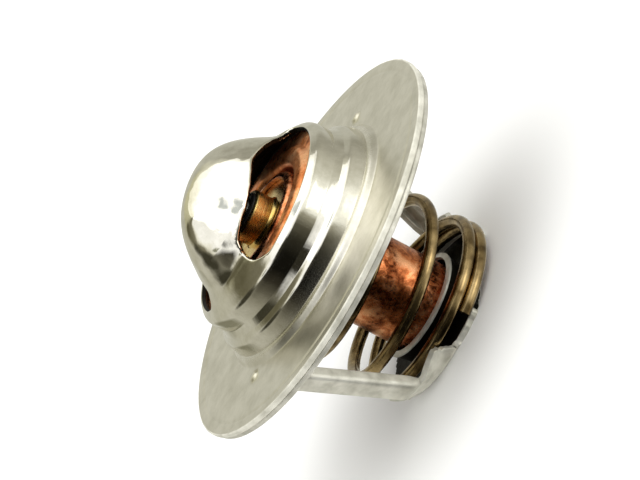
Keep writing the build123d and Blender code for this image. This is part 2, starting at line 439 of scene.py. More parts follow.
@dataclass(frozen=True)
class BrightTinplate(Finish):
    """Tin-plated steel drawn in a polished die: warm, nearly a mirror on the bridge, satin on the flange."""

    name: str = "drawn_tinplate"
    light: str = "e4e1d6"
    shade: str = "cbc8ba"
    mirror_roughness: float = 0.06
    satin_roughness: float = 0.3
    satin_below_mm: float = 0.4
    mirror_above_mm: float = 3.0
    dent_mm: float = 4.5
    dent_depth_mm: float = 0.5
    streak_mm: float = 0.8
    streak_depth_mm: float = 0.006
    streak_stretch: float = 0.12
    grain_mm: float = 0.3
    grain_depth_mm: float = 0.0025
    grain_spread: float = 0.12
    grain_offset: float = 0.05
    stain_mm: float = 3.5
    dents_from_mm: float = 7.0
    dents_full_mm: float = 12.0

    def surface(self, add: Adder, spot: bpy.types.Node) -> Inputs:
        """Soft dents bend the reflections, draw lines run up the walls, and the flange is duller.

        Args:
            add: Adds a node to the material.
            spot: Object coordinates in millimetres.

        Returns:
            The shader's inputs.
        """
        parts = add("ShaderNodeSeparateXYZ", {0: spot})
        tall = add("ShaderNodeMapping", {"Vector": spot, "Scale": (1.0, 1.0, self.streak_stretch)})
        lines = add("ShaderNodeTexNoise", {"Vector": tall, "Scale": 1 / self.streak_mm, "Detail": 3.0})
        dents = add("ShaderNodeTexNoise", {"Vector": spot, "Scale": 1 / self.dent_mm, "Detail": 1.5})
        grain = add("ShaderNodeTexNoise", {"Vector": spot, "Scale": 1 / self.grain_mm, "Detail": 3.0})
        stain = add("ShaderNodeTexNoise", {
            "Vector": spot, "Scale": 1 / self.stain_mm, "Detail": 5.0, "Roughness": 0.65,
        })
        tint = add("ShaderNodeValToRGB", {0: stain}, [(0.3, self.shade), (0.62, self.light)])
        dull = add("ShaderNodeMapRange", {
            "Value": parts.outputs[2], "From Min": self.satin_below_mm, "From Max": self.mirror_above_mm,
            "To Min": self.satin_roughness, "To Max": self.mirror_roughness,
        })
        rough = add("ShaderNodeMath", {0: grain, 1: self.grain_spread, 2: dull}, operation="MULTIPLY_ADD")
        rough = add("ShaderNodeMath", {0: rough, 1: self.grain_offset}, operation="SUBTRACT")
        relief = add("ShaderNodeBump", {"Height": grain, "Distance": self.grain_depth_mm * MM})
        relief = add("ShaderNodeBump", {
            "Height": lines, "Distance": self.streak_depth_mm * MM, "Normal": relief,
        })
        high = add("ShaderNodeMapRange", {
            "Value": parts.outputs[2], "From Min": self.dents_from_mm, "From Max": self.dents_full_mm,
        })
        dents = add("ShaderNodeMath", {0: dents, 1: high}, operation="MULTIPLY")
        relief = add("ShaderNodeBump", {
            "Height": dents, "Distance": self.dent_depth_mm * MM, "Normal": relief,
        })
        return {"Base Color": tint, "Metallic": 1.0, "Roughness": rough, "Normal": relief}


@dataclass(frozen=True)
class DullTinplate(Finish):
    """The same sheet sheared and folded in the cage: satin, cream grey, with a fine orange peel."""

    name: str = "folded_tinplate"
    light: str = "e6e4da"
    shade: str = "b4b2a6"
    roughness: float = 0.34
    metal: float = 1.0
    peel_mm: float = 0.5
    scuff_mm: float = 2.2
    smoother_by: float = 0.06
    rougher_by: float = 0.1
    peel_depth_mm: float = 0.02
    scuff_depth_mm: float = 0.1

    def surface(self, add: Adder, spot: bpy.types.Node) -> Inputs:
        """Cloudy tint, an uneven satin sheen and fine scuffs.

        Args:
            add: Adds a node to the material.
            spot: Object coordinates in millimetres.

        Returns:
            The shader's inputs.
        """
        cloud = add("ShaderNodeTexNoise", {"Vector": spot, "Scale": 1 / self.scuff_mm, "Detail": 5.0})
        peel = add("ShaderNodeTexNoise", {"Vector": spot, "Scale": 1 / self.peel_mm, "Detail": 3.0})
        tint = add("ShaderNodeValToRGB", {0: cloud}, [(0.3, self.shade), (0.65, self.light)])
        rough = add("ShaderNodeMapRange", {
            "Value": peel, "From Min": NOISE_LOW, "From Max": NOISE_HIGH,
            "To Min": self.roughness - self.smoother_by, "To Max": self.roughness + self.rougher_by,
        })
        relief = add("ShaderNodeBump", {"Height": peel, "Distance": self.peel_depth_mm * MM})
        relief = add("ShaderNodeBump", {
            "Height": cloud, "Distance": self.scuff_depth_mm * MM, "Normal": relief,
        })
        return {"Base Color": tint, "Metallic": self.metal, "Roughness": rough, "Normal": relief}


@dataclass(frozen=True)
class AgedCopper(Finish):
    """Drawn copper left bare: orange where rubbed, red-brown to near black where it has tarnished."""

    name: str = "aged_copper_cup"
    bright: str = "ffb98a"
    warm: str = "d07c4c"
    brown: str = "7e4022"
    dark: str = "3c1c0e"
    roughness: float = 0.26
    blotch_mm: float = 3.0
    pit_mm: float = 0.45
    metal: float = 1.0
    smoother_by: float = 0.08
    rougher_by: float = 0.14
    pit_share: float = 0.15
    pit_depth_mm: float = 0.015
    blotch_depth_mm: float = 0.08

    def surface(self, add: Adder, spot: bpy.types.Node) -> Inputs:
        """Blotches of tarnish of two sizes with a pitted, uneven shine.

        Args:
            add: Adds a node to the material.
            spot: Object coordinates in millimetres.

        Returns:
            The shader's inputs.
        """
        blotch = add("ShaderNodeTexNoise", {
            "Vector": spot, "Scale": 1 / self.blotch_mm, "Detail": 6.0, "Roughness": 0.62,
            "Distortion": 0.4,
        })
        pits = add("ShaderNodeTexNoise", {"Vector": spot, "Scale": 1 / self.pit_mm, "Detail": 3.0})
        mixed = add("ShaderNodeMath", {0: pits, 1: self.pit_share, 2: blotch}, operation="MULTIPLY_ADD")
        tint = add("ShaderNodeValToRGB", {0: mixed}, [
            (0.38, self.dark), (0.48, self.brown), (0.57, self.warm), (0.7, self.bright),
        ])
        rough = add("ShaderNodeMapRange", {
            "Value": pits, "From Min": NOISE_LOW, "From Max": NOISE_HIGH,
            "To Min": self.roughness - self.smoother_by, "To Max": self.roughness + self.rougher_by,
        })
        relief = add("ShaderNodeBump", {"Height": pits, "Distance": self.pit_depth_mm * MM})
        relief = add("ShaderNodeBump", {
            "Height": blotch, "Distance": self.blotch_depth_mm * MM, "Normal": relief,
        })
        return {"Base Color": tint, "Metallic": self.metal, "Roughness": rough, "Normal": relief}


@dataclass(frozen=True)
class TurnedMetal(Finish):
    """Metal off the lathe or the grinder: rings round the axis over a cloudy tint, coarse enough to show."""

    light: str
    shade: str
    roughness: float
    ring_mm: float = 0.14
    ring_depth_mm: float = 0.008
    smoother_by: float = 0.04
    rougher_by: float = 0.08
    cloud_mm: float = 2.0

    def surface(self, add: Adder, spot: bpy.types.Node) -> Inputs:
        """Rings follow the height and the distance from the axis.

        Args:
            add: Adds a node to the material.
            spot: Object coordinates in millimetres.

        Returns:
            The shader's inputs.
        """
        parts = add("ShaderNodeSeparateXYZ", {0: spot})
        out = add("ShaderNodeMath", {0: parts.outputs[0], 1: parts.outputs[0]}, operation="MULTIPLY")
        out = add("ShaderNodeMath", {0: parts.outputs[1], 1: parts.outputs[1], 2: out},
                  operation="MULTIPLY_ADD")
        out = add("ShaderNodeMath", {0: out}, operation="SQRT")
        along = add("ShaderNodeMath", {0: parts.outputs[2], 1: out}, operation="ADD")
        rings = add("ShaderNodeTexNoise", {"W": along, "Scale": 1 / self.ring_mm, "Detail": 2.0},
                    noise_dimensions="1D")
        cloud = add("ShaderNodeTexNoise", {"Vector": spot, "Scale": 1 / self.cloud_mm, "Detail": 4.0})
        tint = add("ShaderNodeValToRGB", {0: cloud}, [(0.3, self.shade), (0.62, self.light)])
        rough = add("ShaderNodeMapRange", {
            "Value": rings, "From Min": NOISE_LOW, "From Max": NOISE_HIGH,
            "To Min": self.roughness - self.smoother_by, "To Max": self.roughness + self.rougher_by,
        })
        relief = add("ShaderNodeBump", {"Height": rings, "Distance": self.ring_depth_mm * MM})
        return {"Base Color": tint, "Metallic": 1.0, "Roughness": rough, "Normal": relief}


@dataclass(frozen=True)
class TemperedWire(Finish):
    """Oil-tempered spring wire: thin brown oxide with a yellow-white shine along each turn."""

    name: str = "oil_tempered_wire"
    light: str = "b39b70"
    shade: str = "5c4a2e"
    roughness: float = 0.2
    blotch_mm: float = 2.2
    scratch_mm: float = 0.25
    scratch_stretch: float = 0.12
    scratch_depth_mm: float = 0.012
    smoother_by: float = 0.06
    rougher_by: float = 0.1

    def surface(self, add: Adder, spot: bpy.types.Node) -> Inputs:
        """Brown blotches and fine scratches drawn out round the coil.

        Args:
            add: Adds a node to the material.
            spot: Object coordinates in millimetres.

        Returns:
            The shader's inputs.
        """
        cloud = add("ShaderNodeTexNoise", {"Vector": spot, "Scale": 1 / self.blotch_mm, "Detail": 5.0})
        level = add("ShaderNodeMapping", {
            "Vector": spot,
            "Scale": (self.scratch_stretch, self.scratch_stretch, 1.0)})
        fine = add("ShaderNodeTexNoise", {"Vector": level, "Scale": 1 / self.scratch_mm, "Detail": 2.0})
        tint = add("ShaderNodeValToRGB", {0: cloud}, [(0.32, self.shade), (0.66, self.light)])
        rough = add("ShaderNodeMapRange", {
            "Value": fine, "From Min": NOISE_LOW, "From Max": NOISE_HIGH,
            "To Min": self.roughness - self.smoother_by, "To Max": self.roughness + self.rougher_by,
        })
        relief = add("ShaderNodeBump", {"Height": fine, "Distance": self.scratch_depth_mm * MM})
        return {"Base Color": tint, "Metallic": 1.0, "Roughness": rough, "Normal": relief}


@dataclass(frozen=True)
class CastPolymer(Finish):
    """Rubber, wax or fluoropolymer as moulded: no metal, a dull skin with a fine cloud."""

    light: str
    shade: str
    roughness: float = 0.5
    cloud_mm: float = 1.2
    grain_mm: float = 0.2
    grain_depth_mm: float = 0.015

    def surface(self, add: Adder, spot: bpy.types.Node) -> Inputs:
        """A cloudy tint over a faint grain.

        Args:
            add: Adds a node to the material.
            spot: Object coordinates in millimetres.

        Returns:
            The shader's inputs.
        """
        cloud = add("ShaderNodeTexNoise", {"Vector": spot, "Scale": 1 / self.cloud_mm, "Detail": 4.0})
        grain = add("ShaderNodeTexNoise", {"Vector": spot, "Scale": 1 / self.grain_mm, "Detail": 2.0})
        tint = add("ShaderNodeValToRGB", {0: cloud}, [(0.3, self.shade), (0.7, self.light)])
        relief = add("ShaderNodeBump", {"Height": grain, "Distance": self.grain_depth_mm * MM})
        return {"Base Color": tint, "Roughness": self.roughness, "Normal": relief}


@dataclass
class UpperPressing:
    """Flange, two soft steps, ring and bridge, drawn from one sheet and pierced by two windows."""

    sheet: float = 0.8
    edge_radius: float = 0.22
    flange_radius: float = 27.0
    border_radius: float = 25.3
    groove_half_width: float = 0.45
    groove_depth: float = 0.1
    foot_radius: float = 17.2
    soft_steps: tuple[tuple[float, float], ...] = ((16.6, 0.5), (16.0, 0.7), (15.5, 2.7), (14.75, 3.3))
    ring_radius: float = 14.1
    ring_foot: float = 4.4
    ring_top: float = 6.55
    bends: tuple[float, ...] = (0.4, 0.5, 0.4, 0.7, 0.4, 0.4, 0.7, 0.5, 0.7, 1.0)
    web_radius: float = 12.9
    web_edge_height: float = 7.58
    web_rise: float = 1.95
    web_reach: float = 2.2
    bridge_angle: float = math.radians(-20.0)
    crown_height: float = 17.1
    crown_bend: float = 0.0308
    crown_flank: float = 0.00029
    wing_slope: float = 1.04
    ridge_softness: float = 2.0
    joint_softness: float = 0.7
    joint_reach: float = 1.5
    window_edge: Points = field(default_factory=lambda: [
        (-12.5, 3.3), (-10.4, 3.5), (-8.0, 4.9), (-6.3, 5.4), (-4.0, 5.7), (-2.1, 6.3),
        (0.0, 6.75), (1.7, 6.85), (3.4, 6.75), (5.8, 6.1), (7.4, 5.5), (8.6, 5.5), (10.0, 6.3)])
    window_radius: float = 13.3
    window_ends: tuple[float, float] = (-12.6, 9.9)
    window_corner: float = 1.3
    pip_place: float = 19.0
    pip_angles: tuple[float, float] = (math.radians(-30.0), math.radians(150.0))
    pip_radius: float = 1.0
    pip_height: float = 0.35
    pip_skirt: float = 1.3
    pip_slope: tuple[float, float] = (0.45, 1.25)
    pip_lift: float = 0.004
    columns: int = 300
    web_rows: int = 46

    def rings(self) -> np.ndarray:
        """Middle line of the sheet from the flange's rim to the bridge's foot.

        Returns:
            Radius and height of each point.
        """
        half, groove = self.sheet / 2, self.groove_half_width
        corners = [
            (self.flange_radius - self.edge_radius, -half), (self.border_radius + groove, -half),
            (self.border_radius, -half - self.groove_depth), (self.border_radius - groove, -half),
            (self.foot_radius, -half), *self.soft_steps,
            (self.ring_radius, self.ring_foot), (self.ring_radius, self.ring_top),
            (self.web_radius, self.web_edge_height),
        ]
        return rounded(corners, self.bends)

    def height(self, x: np.ndarray, y: np.ndarray) -> np.ndarray:
        """Height of the sheet's middle inside the ring.

        Args:
            x: Places along X.
            y: Places along Y.

        Returns:
            The heights.
        """
        c, s = math.cos(self.bridge_angle), math.sin(self.bridge_angle)
        along, across = x * c + y * s, y * c - x * s
        radius = np.hypot(x, y)
        crown = self.crown_height - self.crown_bend * along ** 2 - self.crown_flank * along ** 4
        soft = self.ridge_softness
        strap = crown - self.wing_slope * (np.sqrt(across ** 2 + soft ** 2) - soft)
        inward = np.maximum(self.web_radius - radius, 0.0)
        web = self.web_edge_height + self.web_rise * (1.0 - np.exp(-inward / self.web_reach))
        blend = self.joint_softness * smooth_step(inward, 0.0, self.joint_reach)
        return (strap + web + np.sqrt((strap - web) ** 2 + blend ** 2)) / 2

    def keep(self, x: np.ndarray, y: np.ndarray) -> np.ndarray:
        """Positive where the sheet isn't pierced by a window.

        Args:
            x: Places along X.
            y: Places along Y.

        Returns:
            The values.
        """
        c, s = math.cos(self.bridge_angle), math.sin(self.bridge_angle)
        radius = np.hypot(x, y)
        sides = []
        for turn in (1, -1):
            along, across = turn * (x * c + y * s), turn * (y * c - x * s)
            edge = np.interp(along, *zip(*self.window_edge))
            inside = (across - edge, self.window_radius - radius,
                      along - self.window_ends[0], self.window_ends[1] - along)
            gaps = [np.maximum(self.window_corner - depth, 0.0) for depth in inside]
            sides.append(np.sqrt(sum(gap ** 2 for gap in gaps)) - self.window_corner)
        return np.minimum(sides[0], sides[1])

    def pip(self, angle: float) -> Skin:
        """One small raised cap on the flange.

        Args:
            angle: Where it stands, in radians.

        Returns:
            The surface.
        """
        share = np.linspace(self.pip_skirt, 0.0, 9)
        rise = self.pip_height * (1 - smooth_step(share, *self.pip_slope)) + self.pip_lift
        cap = turned(np.stack([share * self.pip_radius, rise], axis=1), 40)
        cap.points[:, 0] += self.pip_place * math.cos(angle)
        cap.points[:, 1] += self.pip_place * math.sin(angle)
        return cap

    def build(self, finish: bpy.types.Material, inside: bpy.types.Material,
              cut: bpy.types.Material) -> None:
        """Make the pressing.

        Args:
            finish: Its material.
            inside: Material of the inner faces, near black: painted shade.
            cut: Material of the flange's sheared edge, matt and pale: partly a painted highlight.
        """
        outer = self.rings()
        inner_radii = np.linspace(self.web_radius, 0.0, self.web_rows)[1:]
        inner = np.stack([inner_radii, np.zeros_like(inner_radii)], axis=1)
        skin = turned(np.concatenate([outer, inner]), self.columns)
        count = len(outer) * self.columns
        x, y = skin.points[count:, 0], skin.points[count:, 1]
        skin.points[count:, 2] = self.height(x, y)
        skin = thickened(trimmed(skin, self.keep), self.sheet, self.edge_radius)
        skin = together(skin, *[self.pip(angle) for angle in self.pip_angles])
        piece = placed("pressed_flange_and_bridge", skin, finish, Body.FRAME, "upper_pressing")
        piece.data.materials.append(inside)
        piece.data.materials.append(cut)
        edge = (self.flange_radius - self.edge_radius) * MM
        # Inner faces above the flange get painted shade; the rim's faces get the pale edge, partly a painted
        # highlight.
        for face in piece.data.polygons:
            face.material_index = int(face.center.z > MM and face.normal.dot(face.center) < -MM)
            if face.center.xy.length > edge:
                face.material_index = 2


@dataclass
class Cage:
    """Flat ring, two channel legs and a dish with a collar, drawn and pierced from one sheet."""

    sheet: float = 0.8
    ring_outer: float = 26.5
    ring_bore: float = 25.3
    top: float = -0.8
    leg_root: float = 24.65
    leg_bend: tuple[float, float] = (16.65, -16.9)
    leg_half_width: float = 1.7
    leg_depth: float = 1.75
    floor_height: float = -20.4
    floor_half_width: float = 9.5
    fold_radius: float = 12.0
    fold_bend: float = 1.2
    strap_lean: float = math.radians(37.0)
    wing_lean: float = math.radians(62.0)
    wing_reach: float = 15.4
    wing_half_width: float = 5.2
    wing_taper: float = 0.657
    collar_foot: float = 6.55
    collar_lip: float = 7.15
    collar_top: float = -17.2
    leg_tip_inset: float = 0.15
    ring_edge: float = 0.3
    ring_columns: int = 300
    # Where the dish's upper face gets painted shade.
    painted_shade_radius: float = 11.8
    painted_shade_top: float = -17.5
    painted_shade_facing: float = -0.3

    def keep(self, x: np.ndarray, y: np.ndarray) -> np.ndarray:
        """Positive inside the dish's outline in plan, with a ragged sheared edge.

        Args:
            x: Places along X.
            y: Places along Y.

        Returns:
            The values.
        """
        radius, across, angle = np.hypot(x, y), np.abs(y), np.arctan2(y, x)
        rag = (0.1 * np.sin(27 * angle + 3 * np.sin(13 * angle))
               + 0.05 * np.sin(71 * angle + 2 * np.sin(29 * angle)))
        burr = (0.08 * np.sin(5.1 * radius + 2 * np.sin(3.7 * radius + angle))
                + 0.03 * np.sin(13 * radius))
        floor = np.minimum(self.fold_radius - radius, self.floor_half_width - across) + rag
        past = np.maximum(across - self.leg_half_width, 0.0)
        reach = self.wing_reach - self.wing_taper * past + 0.1 * past * (self.wing_half_width - across)
        wing = np.minimum(reach - np.abs(x), self.wing_half_width - across + burr)
        return np.maximum(floor, wing)

    def dish(self) -> Skin:
        """Floor, collar and the four wings, folded up more steeply away from the legs.

        Returns:
            The surface.
        """
        corners = [(self.collar_lip, self.collar_top), (self.collar_foot, self.floor_height + 0.5),
                   (self.collar_foot + 0.4, self.floor_height), (8.0, self.floor_height)]
        collar = rounded(corners, [1.0, 0.5], 0.25)
        columns = 360
        angle = np.arange(columns) * 2 * math.pi / columns
        aside = np.abs(np.arcsin(np.clip(np.abs(np.sin(angle)), 0.0, 1.0)))
        edge = math.asin(self.wing_half_width / self.fold_radius)
        root = math.asin(self.leg_half_width / self.fold_radius)
        lean = np.interp(aside, (root, edge), (self.strap_lean, self.wing_lean))
        lean = np.maximum(lean * (1 - smooth_step(aside, edge + 0.03, edge + 0.12)), 1e-4)
        start = self.fold_radius - self.fold_bend * np.tan(lean / 2)
        run = np.arange(8.2, 18.0, 0.2)[:, None]
        past = np.maximum(run - start, 0.0)
        turn = np.minimum(past / self.fold_bend, lean)
        straight = np.maximum(past - self.fold_bend * lean, 0.0)
        out = np.minimum(run, start) + self.fold_bend * np.sin(turn) + straight * np.cos(lean)
        rise = self.fold_bend * (1 - np.cos(turn)) + straight * np.sin(lean)
        skin = turned(np.concatenate([collar, np.zeros((len(run), 2))]), columns)
        rows = skin.points.reshape(-1, columns, 3)
        rows[len(collar):, :, 0] = out * np.cos(angle)
        rows[len(collar):, :, 1] = out * np.sin(angle)
        rows[len(collar):, :, 2] = rise + self.floor_height
        return thickened(trimmed(skin, self.keep), self.sheet, 0.08)

    def ring(self) -> Skin:
        """The flat ring under the flange.

        Returns:
            The surface.
        """
        height = self.top - self.sheet / 2
        line = rounded([(self.ring_outer, height), (self.ring_bore, height)], [])
        return thickened(turned(line, self.ring_columns), self.sheet, self.ring_edge)

    def leg(self, side: int) -> Skin:
        """One channel leg, swept along its slope.

        Args:
            side: 1 for the leg at +X and -1 for the one at -X.

        Returns:
            The leg as a closed surface.
        """
        half = self.sheet / 2
        tip = self.wing_reach - self.leg_tip_inset
        foot = self.floor_height + (tip - self.fold_radius) * math.tan(self.strap_lean)
        line = rounded([(self.leg_root + 0.6, self.top - half), (self.leg_root, self.top - half),
                        self.leg_bend, (tip, foot)], [1.0, 1.2], 0.3)
        steps = np.gradient(line, axis=0)
        steps /= np.linalg.norm(steps, axis=1, keepdims=True)
        inward = np.stack([steps[:, 1], -steps[:, 0]], axis=1)
        wide, depth = self.leg_half_width, self.leg_depth - half
        outline = rounded([(-wide, depth), (-wide, -half), (wide, -half), (wide, depth),
                           (wide - self.sheet, depth), (wide - self.sheet, half),
                           (self.sheet - wide, half), (self.sheet - wide, depth)],
                          [0.12, 0.7, 0.7, 0.12, 0.12, 0.2, 0.2, 0.12], 0.4, True)
        count = len(outline)
        reach = np.concatenate([[0.0], np.cumsum(np.linalg.norm(np.diff(line, axis=0), axis=1))])
        rise = smooth_step(reach, 0.3, 2.4) * (1 - smooth_step(reach, reach[-1] - 1.6, reach[-1]))
        points = []
        for place, direction, grow in zip(line, inward, rise):
            for across, deep in outline:
                if deep > half:
                    deep = half + (deep - half) * grow
                spot = place + direction * deep
                points.append((side * spot[0], across, spot[1]))
        rows = len(line)
        faces: list[tuple[int, ...]] = []
        for i in range(rows - 1):
            for j in range(count):
                k = (j + 1) % count
                faces.append((i * count + j, i * count + k, (i + 1) * count + k, (i + 1) * count + j))
        faces.append(tuple(range(count)))
        faces.append(tuple(range((rows - 1) * count, rows * count)))
        return Skin(np.array(points), faces)

    def build(self, finish: bpy.types.Material, inside: bpy.types.Material) -> None:
        """Make the cage's ring, dish and two legs.

        Args:
            finish: Their material.
            inside: Material of the dish's upper face, near black: painted shade.
        """
        skin = together(self.dish(), self.ring())
        piece = placed("cage_dish_and_ring", skin, finish, Body.FRAME, "cage")
        piece.data.materials.append(inside)
        # The dish's upper face inside the collar's reach gets painted shade.
        for face in piece.data.polygons:
            place = face.center
            within = place.xy.length < self.painted_shade_radius * MM and place.z < self.painted_shade_top * MM
            face.material_index = int(within and face.normal.z > self.painted_shade_facing)
        for side, name in ((1, "cage_leg_right"), (-1, "cage_leg_left")):
            placed(name, self.leg(side), finish, Body.FRAME)


@dataclass
class ReturnSpring:
    """Round wire wound right-handed, with closed turns at both ends."""

    wire_radius: float = 0.83
    coil_radius: float = 12.0
    start_angle: float = 47.0
    bottom: float = -19.15
    closed_below: float = 1.37
    active: float = 2.85
    closed_above: float = 1.25
    closed_pitch: float = 1.7
    top: float = 4.85
    seat: float = -20.0
    travel: float = 8.0
    steps: int = 520
    sides: int = 28

    def tree(self, finish: bpy.types.Material) -> bpy.types.NodeTree:
        """Node tree that winds the wire.

        Args:
            finish: The wire's material.

        Returns:
            The tree.
        """
        tree = bpy.data.node_groups.new("wound_wire", "GeometryNodeTree")
        tree.interface.new_socket("Geometry", in_out="OUTPUT", socket_type="NodeSocketGeometry")
        sizes = ("Wire Radius", "Coil Radius", "Start Angle", "Bottom", "Turns Below", "Active Turns",
                 "Turns Above", "Closed Pitch", "Active Pitch")
        for size in sizes:
            tree.interface.new_socket(size, in_out="INPUT", socket_type="NodeSocketFloat")
        add = partial(node, tree)
        given = add("NodeGroupInput").outputs
        below, active = given["Turns Below"], given["Active Turns"]
        total = add("ShaderNodeMath", {0: below, 1: active}, operation="ADD")
        total = add("ShaderNodeMath", {0: total, 1: given["Turns Above"]}, operation="ADD")
        line = add("GeometryNodeCurvePrimitiveLine", {"End": (0.0, 0.0, 1.0)})
        fine = add("GeometryNodeResampleCurve", {"Curve": line, "Count": self.steps})
        share = add("GeometryNodeSplineParameter").outputs["Factor"]
        turn = add("ShaderNodeMath", {0: share, 1: total}, operation="MULTIPLY")
        angle = add("ShaderNodeMath", {0: turn, 1: 2 * math.pi, 2: given["Start Angle"]},
                    operation="MULTIPLY_ADD")
        loose = add("ShaderNodeMath", {0: turn, 1: below}, operation="SUBTRACT")
        loose = add("ShaderNodeMath", {0: loose, 1: 0.0}, operation="MAXIMUM")
        loose = add("ShaderNodeMath", {0: loose, 1: active}, operation="MINIMUM")
        shut = add("ShaderNodeMath", {0: turn, 1: loose}, operation="SUBTRACT")
        rise = add("ShaderNodeMath", {0: shut, 1: given["Closed Pitch"], 2: given["Bottom"]},
                   operation="MULTIPLY_ADD")
        rise = add("ShaderNodeMath", {0: loose, 1: given["Active Pitch"], 2: rise}, operation="MULTIPLY_ADD")
        east = add("ShaderNodeMath", {0: angle}, operation="COSINE")
        north = add("ShaderNodeMath", {0: angle}, operation="SINE")
        spot = add("ShaderNodeCombineXYZ", {
            "X": add("ShaderNodeMath", {0: east, 1: given["Coil Radius"]}, operation="MULTIPLY"),
            "Y": add("ShaderNodeMath", {0: north, 1: given["Coil Radius"]}, operation="MULTIPLY"),
            "Z": rise,
        })
        wound = add("GeometryNodeSetPosition", {"Geometry": fine, "Position": spot})
        section = add("GeometryNodeCurvePrimitiveCircle", {
            "Resolution": self.sides, "Radius": given["Wire Radius"],
        })
        wire = add("GeometryNodeCurveToMesh", {"Curve": wound, "Profile Curve": section, "Fill Caps": True})
        real = add("GeometryNodeRealizeInstances", {"Geometry": wire})
        dressed = add("GeometryNodeSetMaterial", {"Geometry": real, "Material": finish})
        add("NodeGroupOutput", {"Geometry": dressed})
        return tree

    def build(self, finish: bpy.types.Material) -> None:
        """Wind the spring.

        Args:
            finish: The wire's material.
        """
        shut = (self.closed_below + self.closed_above) * self.closed_pitch
        pitch = (self.top - self.bottom - shut) / self.active
        sizes = {
            "Wire Radius": self.wire_radius * MM, "Coil Radius": self.coil_radius * MM,
            "Start Angle": math.radians(self.start_angle), "Bottom": self.bottom * MM,
            "Turns Below": self.closed_below, "Active Turns": self.active, "Turns Above": self.closed_above,
            "Closed Pitch": self.closed_pitch * MM, "Active Pitch": pitch * MM,
        }
        holder = bpy.data.objects.new("winding", bpy.data.meshes.new("winding"))
        bpy.context.scene.collection.objects.link(holder)
        tree = self.tree(finish)
        modifier = holder.modifiers.new("wire", "NODES")
        modifier.node_group = tree
        for item in tree.interface.items_tree:
            if item.in_out == "INPUT":
                modifier[item.identifier] = sizes[item.name]
        ready = holder.evaluated_get(bpy.context.evaluated_depsgraph_get())
        mesh = bpy.data.meshes.new_from_object(ready)
        bpy.data.objects.remove(holder)
        mesh.polygons.foreach_set("use_smooth", [len(p.vertices) == 4 for p in mesh.polygons])
        piece = bpy.data.objects.new("coiled_spring", mesh)
        bpy.context.scene.collection.objects.link(piece)
        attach(piece, Body.FRAME.value)
        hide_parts("return_spring")
        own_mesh(piece)
        log.info("coiled_spring: %d faces", len(mesh.polygons))


